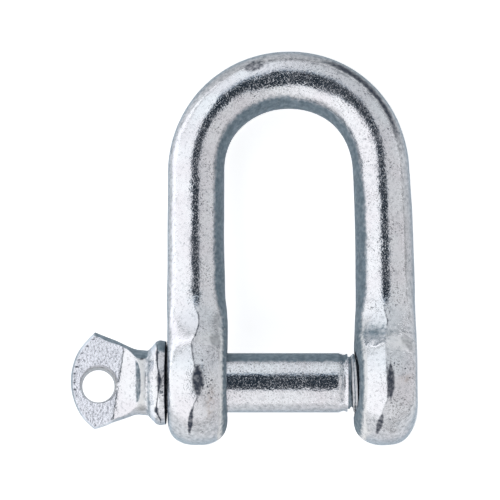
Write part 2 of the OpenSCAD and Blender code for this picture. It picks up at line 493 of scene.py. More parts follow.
@dataclass(frozen=True)
class ZincFinish:
    """Bright zinc plating over forged steel: frosted, pitted and unevenly bright. Sizes in millimetres."""

    name: str
    zinc: Colour = (0.85, 0.865, 0.905)
    warm: Colour = (0.81, 0.80, 0.845)
    # Blue-grey painted shade, on faces that look into the bow and in hollows, blended with the haze tone
    painted_shade_tone: Colour = (0.145, 0.195, 0.235)
    painted_shade_haze: Colour = (0.24, 0.305, 0.36)
    # Grey painted shade on steep outer sides, the pin's lower side and the eye's wall, also on the darker
    # blade's end
    worn_and_shade: Colour = (0.25, 0.258, 0.272)
    # Near black: bare metal with painted shadow in gaps, bores and thread roots, painted dark reflections and
    # lines on the bow, dark lines and spots elsewhere
    bare_and_shade: Colour = (0.045, 0.055, 0.08)
    # Pale matt metal; on the lugs, the neck, the cone and the thread's crests it is a painted highlight
    pale: Colour = (0.97, 0.97, 0.98)
    pit: Colour = (0.10, 0.11, 0.14)
    grit: Colour = (0.30, 0.30, 0.32)
    edge: Colour = (0.50, 0.58, 0.64)
    grain: Colour = (0.88, 0.90, 0.98)
    fleck: Colour = (0.22, 0.23, 0.28)
    stain: Colour = (0.52, 0.41, 0.34)
    grain_depth: float = 0.06
    grain_lean: float = 0.19
    gloss: tuple[float, float] = (0.11, 0.20)
    matt: float = 0.86
    frost_size: float = 0.26
    frost_depth: float = 0.009
    pit_size: float = 0.38
    pit_depth: float = 0.02
    swell_size: float = 2.6
    swell_depth: float = 0.07
    pit_share: float = 0.8
    grit_size: float = 0.30
    grit_share: float = 0.75
    hammer_size: float = 0.75
    hammer_depth: float = 0.022
    ragged_size: float = 0.6
    haze_size: float = 0.8
    press_size: float = 0.31
    press_turn: float = -24.0
    press_stretch: float = 0.55
    painted_shade_scatter: float = 0.65
    frays: tuple[float, float, float] = (0.16, 0.34, 0.30)

    def material(self) -> bpy.types.Material:
        """Builds the finish as a node material on Object coordinates.

        Matt metal, bare metal and the painted shade scatter light and the rest mirrors it, with a gloss that
        follows a cloud.

        Returns:
            The material.
        """
        made = bpy.data.materials.new(self.name)
        made.use_nodes = True
        graph = NodeGraph(made.node_tree)
        place = graph.add("ShaderNodeTexCoord").outputs["Object"]
        cloud = graph.noise(place, self.swell_size * 2.2, 2.0)
        pits = self.pits(graph, place)
        press = self.press_pattern(graph, place)
        bare_and_shade = graph.noted(Trait.BARE_AND_SHADE)
        # Share of the blue-grey painted shade, which scatters light rather than mirroring it
        painted_shade = graph.sum("MULTIPLY", graph.noted(Trait.PAINTED_SHADE), self.painted_shade_scatter)
        soft = graph.sum("MAXIMUM", graph.sum("MAXIMUM", graph.noted(Trait.MATT_AND_HIGHLIGHT), painted_shade), bare_and_shade)
        gloss = graph.ranged(cloud, 0.3, 0.7, *self.gloss)
        shader = graph.add("ShaderNodeBsdfPrincipled")
        shader.inputs["Specular Tint"].default_value = (*self.edge, 1.0)
        for name, value in (
                ("Base Color", self.colour(graph, place, cloud, pits, press)),
                ("Normal", self.relief(graph, place, pits, press)),
                ("Roughness", graph.sum("MAXIMUM", gloss, graph.sum("MULTIPLY", soft, self.matt))),
                ("Metallic", graph.sum("SUBTRACT", 1.0, soft)),
                ("Specular IOR Level", graph.ranged(bare_and_shade, 0.0, 1.0, 0.5, 0.0))):
            graph.feed(shader.inputs[name], value)
        graph.feed(graph.add("ShaderNodeOutputMaterial").inputs["Surface"], shader.outputs["BSDF"])
        return made

    def pits(self, graph: NodeGraph, place: Socket) -> Socket:
        """Pattern of pits: the low spots of a noise, in crowds, as strong as the mesh notes grit.

        Args:
            graph: Node tree being built.
            place: Object coordinates.

        Returns:
            1 in a pit to 0 beside it.
        """
        crowd = graph.ranged(graph.noise(place, self.swell_size * 1.5, 1.0), 0.40, 0.70, 0.0, 0.08)
        spots = graph.sum("SUBTRACT", graph.noise(place, self.pit_size, 1.0, 0.5, 0.6), crowd)
        spots = graph.ranged(spots, 0.23, 0.30, self.pit_share, 0.0)
        return graph.sum("MULTIPLY", spots, graph.noted(Trait.GRIT))

    def colour(self, graph: NodeGraph, place: Socket, cloud: Socket, pits: Socket, press: Socket) -> Socket:
        """Colour of the plating.

        Zinc is blended with a warmer cloud. Over it come grit, pits, stains, pale matt metal (in places a
        painted highlight) and the flecks of pressed metal, and last grey painted shade, blue-grey painted
        shade and bare metal with painted shadow, with edges that a noise frays.

        Args:
            graph: Node tree being built.
            place: Object coordinates.
            cloud: Slow pattern of the plating's tone.
            pits: Pattern of pits.
            press: Pattern of pressed metal.

        Returns:
            The colour.
        """
        ragged = graph.noise(place, self.ragged_size, 3.0, 0.65)
        grit = graph.ranged(graph.noise(place, self.grit_size, 2.0, 0.6), 0.26, 0.52, self.grit_share, 0.0)
        grit = graph.sum("MULTIPLY", grit, graph.noted(Trait.GRIT))
        stain = graph.sum("MULTIPLY", graph.noted(Trait.STAIN), graph.ranged(ragged, 0.38, 0.62))
        flecks = graph.blend(graph.ranged(press, 0.30, 0.50, 0.8, 0.0), self.grain, self.fleck)
        # Mottled blue-grey of the painted shade
        haze = graph.ranged(graph.noise(place, self.haze_size, 3.0, 0.6), 0.34, 0.66)
        painted_shade = graph.blend(haze, self.painted_shade_tone, self.painted_shade_haze)
        colour = graph.blend(graph.ranged(cloud, 0.35, 0.65), self.zinc, self.warm)
        for share, tone in ((grit, self.grit), (pits, self.pit), (stain, self.stain),
                            (graph.noted(Trait.MATT_AND_HIGHLIGHT), self.pale), (graph.noted(Trait.GRAIN), flecks)):
            colour = graph.blend(share, colour, tone)
        # Last come the grey painted shade, the blue-grey painted shade, and dark bare metal with painted
        # shadow, each with frayed edges
        tones = (Trait.WORN_AND_SHADE, self.worn_and_shade), (Trait.PAINTED_SHADE, painted_shade), (Trait.BARE_AND_SHADE, self.bare_and_shade)
        for (trait, tone), fray in zip(tones, self.frays):
            share = graph.sum("ADD", graph.noted(trait), graph.ranged(ragged, 0.2, 0.8, -fray, fray))
            colour = graph.blend(graph.ranged(share, 0.0, 1.0), colour, tone)
        return colour

    def relief(self, graph: NodeGraph, place: Socket, pits: Socket, press: Socket) -> Socket:
        """Normal of the plating: a swell, leaning pressed metal with flecks, hammer marks, frost and pits.

        Args:
            graph: Node tree being built.
            place: Object coordinates.
            pits: Pattern of pits.
            press: Pattern of pressed metal.

        Returns:
            The normal.
        """
        pressed = graph.noted(Trait.GRAIN)
        swell = graph.noise(place, self.swell_size, 1.0)
        hammer = graph.ranged(graph.noise(place, self.hammer_size, 2.0), 0.48, 0.66)
        patch = graph.ranged(graph.noise(place, self.swell_size * 3.0, 1.0), 0.40, 0.60, 0.25, 1.0)
        frost = graph.ranged(graph.noise(place, self.frost_size, 1.0, 0.5, 0.3), 0.52, 0.68)
        normal = self.leaning(graph, graph.bump(swell, self.swell_depth), pressed)
        for height, depth in ((graph.sum("MULTIPLY", press, pressed), self.grain_depth),
                              (graph.sum("MULTIPLY", hammer, patch), self.hammer_depth),
                              (frost, self.frost_depth), (pits, -self.pit_depth)):
            normal = graph.bump(height, depth, normal)
        return normal

    def leaning(self, graph: NodeGraph, normal: Socket, pressed: Socket) -> Socket:
        """Leans the normal of pressed metal towards the blade's end, where its fine steps face.

        Args:
            graph: Node tree being built.
            normal: Normal to start from.
            pressed: 1 on pressed metal, 0 elsewhere.

        Returns:
            The leaning normal.
        """
        lean = graph.add("ShaderNodeCombineXYZ")
        graph.feed(lean.inputs["X"], graph.sum("MULTIPLY", pressed, -self.grain_lean))
        both = graph.add("ShaderNodeVectorMath", operation="ADD")
        graph.feed(both.inputs[0], normal)
        graph.feed(both.inputs[1], lean.outputs["Vector"])
        unit = graph.add("ShaderNodeVectorMath", operation="NORMALIZE")
        graph.feed(unit.inputs[0], both.outputs["Vector"])
        return unit.outputs["Vector"]

    def press_pattern(self, graph: NodeGraph, place: Socket) -> Socket:
        """Pattern of pressed metal: noise drawn out into short leaning flecks.

        Args:
            graph: Node tree being built.
            place: Object coordinates.

        Returns:
            The pattern's value.
        """
        lean = graph.add("ShaderNodeMapping")
        graph.feed(lean.inputs["Vector"], place)
        lean.inputs["Rotation"].default_value = (0.0, 0.0, math.radians(self.press_turn))
        lean.inputs["Scale"].default_value = (1.0, self.press_stretch, 1.0)
        return graph.noise(lean.outputs["Vector"], self.press_size, 3.0, 0.65)


@dataclass(frozen=True)
class ForgeMark:
    """Oval mark on the bow's upper side, in its own flat frame: a dent, or with a negative depth a bump.

    Its plating may have a trait of its own: painted shade, painted dark reflections, painted highlights and
    stains.
    """

    x: float
    y: float
    across: float
    lengthwise: float
    depth: float = 0.0
    turn: float = 0.0
    trait: Trait | None = None
    strength: float = 0.0

    def offsets(self, points: Array) -> tuple[Array, Array, Array]:
        """Works out where places lie in the mark.

        Args:
            points: Places on the bow in millimetres.

        Returns:
            Offsets across and along the mark in its half sizes, and 1 on the upper side to 0 below.
        """
        c, s = math.cos(math.radians(self.turn)), math.sin(math.radians(self.turn))
        dx, dy = points[..., 0] - self.x, points[..., 1] - self.y
        above = ease(points[..., 2], 0.5, 3.0)
        return (c * dx + s * dy) / self.across, (c * dy - s * dx) / self.lengthwise, above

    def oval(self, points: Array) -> Array:
        """How far places lie in the mark: a Gaussian over its half sizes, 1 in the middle."""
        wide, tall, above = self.offsets(points)
        return np.exp(-wide * wide - tall * tall) * above

    def lens(self, points: Array) -> Array:
        """How far places lie in a lens with pointed ends: its width falls with the square of the length."""
        wide, tall, above = self.offsets(points)
        return ease(1.0 - np.abs(wide) - tall * tall, -0.1, 0.45) * above

    def trait_share(self, points: Array) -> Array:
        """Share of the mark's trait: a lens for a painted dark reflection, an oval for any other."""
        return self.strength * (self.lens(points) if self.trait is Trait.BARE_AND_SHADE else self.oval(points))


@dataclass(frozen=True)
class Unevenness:
    """Waves in a forged skin: their length and their height on the bar and on the lugs, in millimetres."""

    length: float
    on_bar: float
    on_lugs: float
    count: int
    seed: int


@dataclass
class Bow:
    """Forged bow: a round bar bent into a dee, its ends swelling into two lugs. Sizes in millimetres."""

    finish: ZincFinish
    bar_r: float = 4.95
    leg_x: float = 15.95
    jaw_w: float = 21.2
    lug_r: float = 10.6
    plain_lug_t: float = 10.1
    tapped_lug_t: float = 10.998
    plain_draft: float = 1.5
    tapped_draft: float = 6.0
    crown_line_y: float = 51.95
    neck_fillet: float = 15.0
    lug_flat: tuple[float, float] = (12.0 / 21.2, 14.8 / 21.2)
    rim_fullness: float = 2.4
    plain_bore_r: float = 5.3
    tapped_bore_r: float = 5.4
    mouth_chamfer: float = 0.4
    mouth_dish: float = 0.24
    heel_trim: float = 0.2
    # Parting crease: its height on the plain and the tapped lug, and its line as height and offset
    ridge_h: tuple[float, float] = (0.30, 0.40)
    ridge_w: float = 1.5
    plain_crease: tuple[tuple[float, float], ...] = (
        (-8.4, -0.75), (-6.9, -0.62), (-4.1, -0.07), (-2.4, 0.88), (0.0, 0.50), (2.4, 0.0), (4.2, -0.34),
        (6.2, -0.54), (7.4, 0.07), (9.2, 0.60), (10.9, 0.60), (12.9, -0.34), (14.0, 0.0))
    tapped_crease: tuple[tuple[float, float], ...] = (
        (-8.8, -2.0), (-5.3, -1.0), (-3.4, -0.2), (-0.2, -0.2), (2.7, -0.33), (5.3, -0.50), (7.6, -0.33),
        (9.9, 0.16), (12.6, -0.50), (14.0, 0.0))
    columns: int = 176
    sharp_deg: float = 40.0
    # Rows of place along the bar, shift and swell, as bending by hand left it
    right_course: Course = (
        (6.0, 0.0, 0.0), (14.0, 0.12, 0.14), (21.0, 0.12, 0.06), (27.0, 0.0, 0.0), (32.0, -0.15, -0.03),
        (36.0, -0.40, -0.10))
    left_course: Course = (
        (4.0, 0.0, 0.0), (11.0, -0.20, 0.20), (16.0, 0.03, 0.03), (22.0, 0.10, -0.10), (36.0, 0.08, -0.10))
    crown_course: Course = (
        (0.0, -0.40, -0.10), (15.0, -0.40, -0.10), (30.0, -0.20, -0.10), (50.0, 0.0, -0.10), (75.0, 0.0, 0.0),
        (90.0, 0.0, 0.0), (130.0, 0.20, -0.10), (150.0, 0.20, -0.20), (180.0, 0.08, -0.10))
    # Depth by which the skin is sunk on the bar and on the lugs
    sunk: tuple[float, float] = (0.03, 0.08)
    waves: tuple[Unevenness, ...] = (
        Unevenness(9.0, 0.020, 0.060, count=14, seed=5), Unevenness(3.2, 0.008, 0.022, count=18, seed=8))
    seam_half: float = 0.13
    # How far faces look into the bow where its painted shade starts: on the legs, then left and right on the
    # crown
    painted_shade_start: float = 0.56
    painted_shade_start_crown: tuple[float, float] = (0.60, 0.68)
    painted_shade_width: float = 0.2
    # Where the painted shade rises on the lugs, and where their pale matt band, a painted highlight, rises
    lug_painted_shade: tuple[float, float] = (0.52, 0.92)
    lug_painted_highlight: tuple[float, float] = (0.48, 0.60)
    # Painted shade of the steep left, right, lower and upper sides, then of the crown's right corner
    rim_shade_start: tuple[float, ...] = (0.74, 0.58, 0.55, 0.50, 0.56)
    rim_shade_width: tuple[float, ...] = (0.14, 0.09, 0.24, 0.08)
    marks: tuple[ForgeMark, ...] = (
        ForgeMark(-16.9, 14.4, 0.9, 1.7, depth=0.05),
        ForgeMark(12.2, 2.0, 0.8, 3.0, depth=-0.05),
        ForgeMark(12.6, 39.9, 0.34, 0.34, depth=0.03),
        ForgeMark(11.95, 37.1, 0.30, 0.34, depth=0.03),
        ForgeMark(12.6, 34.9, 0.34, 0.28, depth=0.03),
        # Dents with blue-grey painted shade in them
        ForgeMark(13.8, 7.9, 3.0, 1.6, depth=0.18, trait=Trait.PAINTED_SHADE, strength=0.8),
        ForgeMark(13.5, 6.3, 0.9, 0.45, depth=0.10, turn=15.0, trait=Trait.PAINTED_SHADE, strength=0.2),
        # Dark lenses on the lugs, streaks below them and a patch on the crown: painted dark reflections of
        # the opening overhead
        ForgeMark(-15.43, -0.25, 1.12, 3.0, trait=Trait.BARE_AND_SHADE, strength=0.86),
        ForgeMark(-16.64, -6.8, 0.5, 2.4, depth=0.02, turn=-8.0, trait=Trait.BARE_AND_SHADE, strength=0.78),
        ForgeMark(16.25, -0.37, 0.8, 3.5, trait=Trait.BARE_AND_SHADE, strength=0.82),
        ForgeMark(14.6, -7.2, 0.62, 2.0, depth=0.02, turn=-15.0, trait=Trait.BARE_AND_SHADE, strength=0.74),
        ForgeMark(-6.0, 53.6, 1.2, 2.3, depth=0.02, turn=-70.0, trait=Trait.BARE_AND_SHADE, strength=0.60),
        ForgeMark(-13.4, -4.0, 0.6, 2.4, turn=-6.0, trait=Trait.STAIN, strength=0.6),
        ForgeMark(18.7, 0.0, 1.1, 0.5, turn=25.0, trait=Trait.STAIN, strength=0.6),
        # Pale matt patches on the lugs: painted highlights
        ForgeMark(18.3, 6.1, 2.6, 1.3, turn=-12.0, trait=Trait.MATT_AND_HIGHLIGHT, strength=0.9),
        ForgeMark(-13.3, 6.8, 2.4, 1.2, trait=Trait.MATT_AND_HIGHLIGHT, strength=0.8))

    @property
    def tilt(self) -> float:
        """Angle in degrees by which the bow leans as it rests on both lug rims and the crown."""
        return math.degrees(math.asin((self.lug_r - self.bar_r) / self.crown_line_y))

    @property
    def crown_y(self) -> float:
        """Height of the crown's bend centre."""
        return self.crown_line_y - self.leg_x

    @property
    def neck_top(self) -> float:
        """Height at which the hollow neck meets the round bar."""
        reach = self.lug_r + self.neck_fillet
        return math.sqrt(reach * reach - (self.bar_r + self.neck_fillet) ** 2)

    def half_height(self, y: Array) -> Array:
        """Half the lug's height: a circle below, then a hollow arc that meets the bar.

        Args:
            y: Heights along the leg.

        Returns:
            Half of the section's size out of the bow's plane.
        """
        touch = self.neck_top * self.lug_r / (self.lug_r + self.neck_fillet)
        rim = np.sqrt(np.maximum(self.lug_r ** 2 - y * y, 0.0))
        drop = np.clip(self.neck_top - y, 0.0, self.neck_fillet)
        neck = self.bar_r + self.neck_fillet - np.sqrt(self.neck_fillet ** 2 - drop * drop)
        return np.where(y <= touch, rim, neck)

    @staticmethod
    def rim_share(u: Array, flat: Array | float, fullness: Array | float) -> Array:
        """Share of the full width at u: 1 up to flat, then a rounded rim that falls to 0 at u = 1."""
        out = np.clip((np.abs(u) - flat) / (1.0 - flat), 0.0, 1.0)
        return (1.0 - out ** fullness) ** (1.0 / fullness)

    def spread(self) -> Array:
        """Shares of a quarter section's length, from its side to its crest, closest at the crest."""
        t = np.linspace(0.0, 1.0, self.columns // 4 + 1)
        return t + 0.5 * np.sin(math.pi * t) / math.pi

    @staticmethod
    def mirrored(x_q: Array, z_q: Array) -> tuple[Array, Array]:
        """Whole sections from their first quarters, which run from the side to the crest."""
        return (np.hstack([x_q[:, :-1], -x_q[:, :0:-1], -x_q[:, :-1], x_q[:, :0:-1]]),
                np.hstack([z_q[:, :-1], z_q[:, :0:-1], -z_q[:, :-1], -z_q[:, :0:-1]]))

    def circle(self) -> tuple[Array, Array]:
        """Round section of the bar, as outward and z."""
        angle = 0.5 * math.pi * self.spread()[None, :]
        return self.mirrored(self.bar_r * np.cos(angle), self.bar_r * np.sin(angle))

    def drawn(self, outward: Array, place: Array, course: Course, soft: float) -> Array:
        """Shifts and thins sections along the bar, as bending by hand leaves them.

        Args:
            outward: Offsets from the bar's line, away from the bow's middle.
            place: Heights along a leg, or angles round the crown in degrees.
            course: Rows of place, shift and swell of the half thickness.
            soft: Half length over which the course is averaged.

        Returns:
            The new offsets.
        """
        at, *columns = np.array(course).T
        near = place[..., None] + np.linspace(-soft, soft, 9)
        shift, swell = (np.interp(near, at, column).mean(axis=-1) for column in columns)
        return outward + shift + swell * np.clip(outward / self.bar_r, -1.0, 1.0)

    def lug_rings(self, thickness: float, draft: float, trim: float) -> Array:
        """Sections of one lug, from under its rim up to the bar, in outward, y and z.

        A section's quarter is the curve (half width times rim share of u, half height times u). Its
        points are spread along the curve, closest at its crest, and mirrored into the other quarters.

        Args:
            thickness: Thickness of the lug along the pin, at its parting line.
            draft: Angle in degrees by which its faces fall back from the parting line.
            trim: Share by which its outer half is narrower at the very bottom.

        Returns:
            Grid of places, outward offset from the leg's line on the first axis value.
        """
        below = -self.lug_r * np.sin(np.radians(np.linspace(88.0, 0.0, 46, endpoint=False)))
        y = np.concatenate([below, np.linspace(0.0, self.neck_top, 48, endpoint=False)])[:, None]
        u = np.sin(np.linspace(0.0, 0.5 * math.pi, 401))[None, :]
        tall = self.half_height(y)
        share = ease(y, 0.0, self.neck_top)
        high = tall * u
        reach = np.hypot(y, high)
        half = mix(0.5 * thickness - high * math.tan(math.radians(draft)), self.bar_r, share)
        flat_below = mix(*self.lug_flat, (high / np.maximum(reach, 1e-9)) ** 2)
        below_pin = self.rim_share(reach / self.lug_r, flat_below, self.rim_fullness)
        flat_above = mix(self.lug_flat[1], 0.0, share)
        above_pin = self.rim_share(u, flat_above, mix(self.rim_fullness, 2.0, share))
        wide = half * np.where(y < 0.0, below_pin, above_pin)
        step = np.hypot(np.diff(wide, axis=1), np.diff(high, axis=1))
        length = np.concatenate([np.zeros_like(y), np.cumsum(step, axis=1)], axis=1)
        x_q = np.stack([np.interp(self.spread(), s / s[-1], w) for s, w in zip(length, wide)])
        z_q = np.stack([np.interp(self.spread(), s / s[-1], h) for s, h in zip(length, high)])
        x_ring, z_ring = self.mirrored(x_q, z_q)
        x_ring = np.where(x_ring > 0.0, x_ring * (1.0 - trim * ease(-y, 3.5, 10.0)), x_ring)
        aside = 0.5 * (self.jaw_w + thickness) - self.leg_x
        x_ring = x_ring + mix(aside, 0.0, share)
        return np.stack(np.broadcast_arrays(x_ring, y, z_ring), axis=-1)

    def leg_rings(self) -> Array:
        """Round sections of one straight leg, from the neck up to the bend.

        Returns:
            Grid of places in outward, y and z.
        """
        outward, z = self.circle()
        y = np.linspace(self.neck_top, self.crown_y, 36, endpoint=False)[:, None]
        return np.stack(np.broadcast_arrays(outward, y, z), axis=-1)

    def crown_rings(self) -> Array:
        """Round sections carried round the half circle of the crown: reach cos, centre + reach sin, z.

        Returns:
            Grid of places from the right leg to the left.
        """
        outward, z = self.circle()
        bend = np.linspace(0.0, math.pi, 110)[:, None]
        reach = self.leg_x + self.drawn(outward, np.degrees(bend), self.crown_course, 7.0)
        ring = reach * np.cos(bend), self.crown_y + reach * np.sin(bend), z
        return np.stack(np.broadcast_arrays(*ring), axis=-1)

    def rings(self) -> Array:
        """Joins the whole bow into one sweep.

        Returns:
            Grid of places: right lug, right leg, crown, left leg and left lug.
        """
        tapped = self.lug_rings(self.tapped_lug_t, self.tapped_draft, self.heel_trim)
        plain = self.lug_rings(self.plain_lug_t, self.plain_draft, 0.0)
        right = np.concatenate([tapped, self.leg_rings()])
        left = np.concatenate([plain, self.leg_rings()])[::-1]
        for rings, course in ((right, self.right_course), (left, self.left_course)):
            rings[..., 0] = self.drawn(rings[..., 0], rings[..., 1], course, 2.0)
        outward = np.array([self.leg_x, 0.0, 0.0])
        return np.concatenate([right + outward, self.crown_rings(), (left + outward) * [-1.0, 1.0, 1.0]])

    def beside_crease(self, points: Array) -> Array:
        """Works out where places lie beside the wavering parting crease of their lug.

        Args:
            points: Places on the bow in millimetres.

        Returns:
            How far each lies to the right of the crease.
        """
        x, y = points[..., 0], points[..., 1]
        plain = np.interp(y, *np.array(self.plain_crease).T) - self.leg_x
        tapped = np.interp(y, *np.array(self.tapped_crease).T) + self.leg_x
        return x - np.where(x > 0.0, tapped, plain)

    def ridge(self, points: Array) -> Array:
        """Height of the parting crease over the lugs: flanks that fall away from a wavering line.

        Args:
            points: Places on the bow in millimetres.

        Returns:
            Height of the surface, 0 on the crease and negative beside it.
        """
        x, y, z = np.moveaxis(points, -1, 0)
        blunt = 0.06 + bell(y, 0.0, 2.0)
        beside = self.beside_crease(points)
        off = np.where(beside < 0.0, -beside, np.hypot(beside, blunt) - blunt)
        plain_h, tapped_h = self.ridge_h
        fall = np.where(x > 0.0, -tapped_h, -plain_h) * (1.0 - np.exp(-off / self.ridge_w))
        return fall * window(y, (-9.8, -8.0), (11.0, 15.0)) * ease(np.abs(z), 3.0, 5.0)

    def forged(self, rings: Array) -> Array:
        """Works the forging into the smooth sweep: waves, the parting crease, the marks and a dished mouth.

        Each place moves along its normal by the sum of the heights, and the waves only ever sink it. On the
        lugs the relief fades towards their flat faces.

        Args:
            rings: The smooth sweep.

        Returns:
            The worked sweep.
        """
        x, y, z = np.moveaxis(rings, -1, 0)
        lugs = fade(y, 10.0, 22.0)
        height = -mix(*self.sunk, lugs)
        for wave in self.waves:
            waving = plane_waves(rings, wave.length, wave.count, wave.seed)
            height = height + waving * mix(wave.on_bar, wave.on_lugs, lugs)
        height = np.minimum(height, 0.0) + self.ridge(rings)
        for mark in self.marks:
            height = height - mark.depth * mark.oval(rings)
        normals = grid_normals(rings)
        height *= 1.0 - ease(np.abs(normals[..., 0]), 0.35, 1.0) * fade(y, 5.0, 14.0)
        mouth = ease(-normals[..., 0], 0.8, 0.95) * fade(np.hypot(y, z), 6.4, 8.2) * (x > 0.0)
        height -= self.mouth_dish * mouth * ease(np.abs(z), 2.2, 5.2)
        return rings + normals * height[..., None]

    @staticmethod
    def on_lugs(y: Array) -> Array:
        """1 on the lugs to 0 on the bar above their necks."""
        return fade(y, 6.0, 14.0)

    @staticmethod
    def layered(values: tuple[float, ...], *shares: Array) -> Array:
        """Blends from the first value to each next one in turn.

        Args:
            values: The values, first one first.
            shares: Share of each value after the first.

        Returns:
            The blended value at each place.
        """
        made = np.full_like(shares[0], values[0])
        for value, share in zip(values[1:], shares):
            made = mix(made, value, share)
        return made

    def facing(self, skin: Skin) -> Array:
        """How far faces look into the bow: to its middle line or, round the crown, to its bend centre.

        Args:
            skin: The bow's vertices.

        Returns:
            Cosine between the normal and that direction.
        """
        x, y, _ = skin.places.T
        inward = np.stack([-x, -np.maximum(y - self.crown_y, 0.0)], axis=-1)
        inward /= np.maximum(np.linalg.norm(inward, axis=1, keepdims=True), 1e-9)
        return (inward * skin.normals[:, :2]).sum(axis=1)

    def painted_shade(self, skin: Skin) -> Array:
        """Share of blue-grey painted shade on faces that look into the bow, later on the crown and slower on
        the lugs.

        Args:
            skin: The bow's vertices.

        Returns:
            0 for none to 1 for full.
        """
        x, y, _ = skin.places.T
        facing = self.facing(skin)
        on_left, on_right = self.painted_shade_start_crown
        bend = ease(y, self.crown_y - 6.0, self.crown_y + 2.0)
        start = mix(self.painted_shade_start, np.where(x > 0.0, on_right, on_left), bend)
        on_bar = ease(facing, start, start + self.painted_shade_width)
        return mix(on_bar, ease(facing, *self.lug_painted_shade), self.on_lugs(y))

    def rim_shade(self, skin: Skin) -> tuple[Array, Array]:
        """Works out the painted shade on the outer sides and the painted dark lines along the crown's rim.

        The painted shade sets in where faces are steeper than a start, over a width, sooner on the right than
        on the left. Both blend from the left side to the right, lower and upper ones and the crown's right
        corner. The lines are Gaussians of the steepness.

        Args:
            skin: The bow's vertices.

        Returns:
            Share of painted shade on steep sides, and share of the lines.
        """
        y = skin.places[:, 1]
        nx, ny, _ = skin.normals.T
        steep = np.maximum(np.hypot(nx, ny), 1e-6)
        right, lower = ease(nx, 0.0, 0.5), ease(-ny, 0.2, 0.6)
        upper = ease(ny, 0.2, 0.6) * ease(y, self.crown_y - 3.0, self.crown_y + 4.0)
        corner = ease(ny / steep, 0.0, 0.5) * ease(nx / steep, 0.1, 0.5)
        corner *= ease(y, self.crown_y - 1.0, self.crown_y + 4.0)
        start = self.layered(self.rim_shade_start, right, lower, upper, corner)
        width = self.layered(self.rim_shade_width, right, lower, upper)
        outer = mix(0.57, mix(0.64, 0.56, self.on_lugs(y)), np.maximum(right, lower))
        worn_and_shade = np.maximum(outer, mix(0.74, 0.84, right) * upper) * ease(steep, start, start + width)
        corner_shade_line = 0.8 * bell(steep, 0.72, 0.12) * corner
        upper_shade_line = 0.5 * bell(steep, 0.53, 0.05) * upper * ease(nx / steep, -0.5, -0.2)
        return worn_and_shade, np.maximum(corner_shade_line, upper_shade_line)

    def bare_metal_and_shade(self, skin: Skin) -> Array:
        """Share of dark metal: a dark line along the parting crease, and painted shadow under the pin's
        collar and in the bores.

        The crease is a thin Gaussian, fainter over two stretches of the tapped lug.

        Args:
            skin: The bow's vertices.

        Returns:
            0 for none to 1 for full.
        """
        (x, y, z), (nx, ny, nz) = skin.places.T, skin.normals.T
        faint = 0.6 * fade(np.abs(y - 6.0), 2.4, 3.6) + 0.45 * fade(np.abs(y + 4.5), 1.0, 1.8)
        seam = 0.75 * bell(self.beside_crease(skin.places), 0.0, self.seam_half)
        seam *= np.where(x > 0.0, 1.0 - faint, 1.0)
        seam *= window(y, (-9.5, -8.0), (11.0, 13.5)) * ease(z, 3.0, 5.0)
        from_pin = np.maximum(np.hypot(y, z), 1e-6)
        # Painted shadow of the gap under the pin's collar
        seat = 0.8 * ease(-nx, 0.85, 0.95) * fade(from_pin, 7.6, 8.0) * (x < 0.0)
        to_pin = -(ny * y + nz * z) / from_pin
        # Painted shadow in the bores
        bore_shadow = 0.8 * ease(to_pin, 0.3, 0.6) * (from_pin < 6.4) * fade(y, 8.0, 9.0)
        return strongest(seam, seat, bore_shadow)

    def grit(self, skin: Skin) -> Array:
        """Share of grit: in clusters, most on faces that look to the right and least on the left leg.

        Args:
            skin: The bow's vertices.

        Returns:
            0 for none, 1 for much.
        """
        x, y, _ = skin.places.T
        lugs = self.on_lugs(y)
        to_left = np.where(x > 0.0, mix(0.8, 0.25, lugs), mix(0.22, 0.12, lugs))
        clusters = np.clip(0.9 + 0.7 * plane_waves(skin.places, 5.0, count=12, seed=21), 0.3, 1.5)
        return clusters * mix(to_left, mix(1.0, 1.25, lugs), ease(skin.normals[:, 0], -0.15, 0.2))

    def note_traits(self, piece: Piece) -> None:
        """Notes the traits of the plating, those of the marks included, on the bow laid flat as forged.

        Args:
            piece: The finished bow.
        """
        skin = Skin.of(piece).turned(self.tilt)
        lugs, facing = self.on_lugs(skin.places[:, 1]), self.facing(skin)
        worn_and_shade, shade_lines = self.rim_shade(skin)
        shares = {
            # Blue-grey painted shade on faces that look into the bow
            Trait.PAINTED_SHADE: self.painted_shade(skin),
            # Pale matt band on the lugs: painted highlight
            Trait.MATT_AND_HIGHLIGHT: lugs * ease(facing, *self.lug_painted_highlight),
            # Painted dark lines on the crown's rim, the crease line, and painted shadow under the collar and
            # in the bores
            Trait.BARE_AND_SHADE: np.maximum(shade_lines, self.bare_metal_and_shade(skin)),
            Trait.GRIT: self.grit(skin),
            Trait.STAIN: np.zeros_like(lugs)}
        for mark in self.marks:
            if mark.trait is not None:
                shares[mark.trait] = np.maximum(shares[mark.trait], mark.trait_share(skin.places))
        # Grey painted shade on steep sides, kept off the blue-grey painted shade and off the lugs' inward
        # faces
        shares[Trait.WORN_AND_SHADE] = worn_and_shade * (1.0 - shares[Trait.PAINTED_SHADE]) * (1.0 - lugs * ease(facing, 0.5, 0.65))
        note(piece, shares)

    def bore(self, name: str, middle: float, half: float, radius: float) -> Piece:
        """Cutter of one lug bore: a cylinder that flares at 45 degrees through both lug faces.

        Args:
            name: Name of the cutter.
            middle: Middle of the lug along the pin.
            half: Half the lug's thickness.
            radius: Radius of the bore.

        Returns:
            The cutter.
        """
        flare = self.mouth_chamfer + 1.0
        mouth = half - self.mouth_chamfer
        profile = np.array([[-mouth - flare, radius + flare], [-mouth, radius],
                            [mouth, radius], [mouth + flare, radius + flare]])
        return turned_about_line(name, profile, np.array([middle, 0.0, 0.0]), np.array([1.0, 0.0, 0.0]))

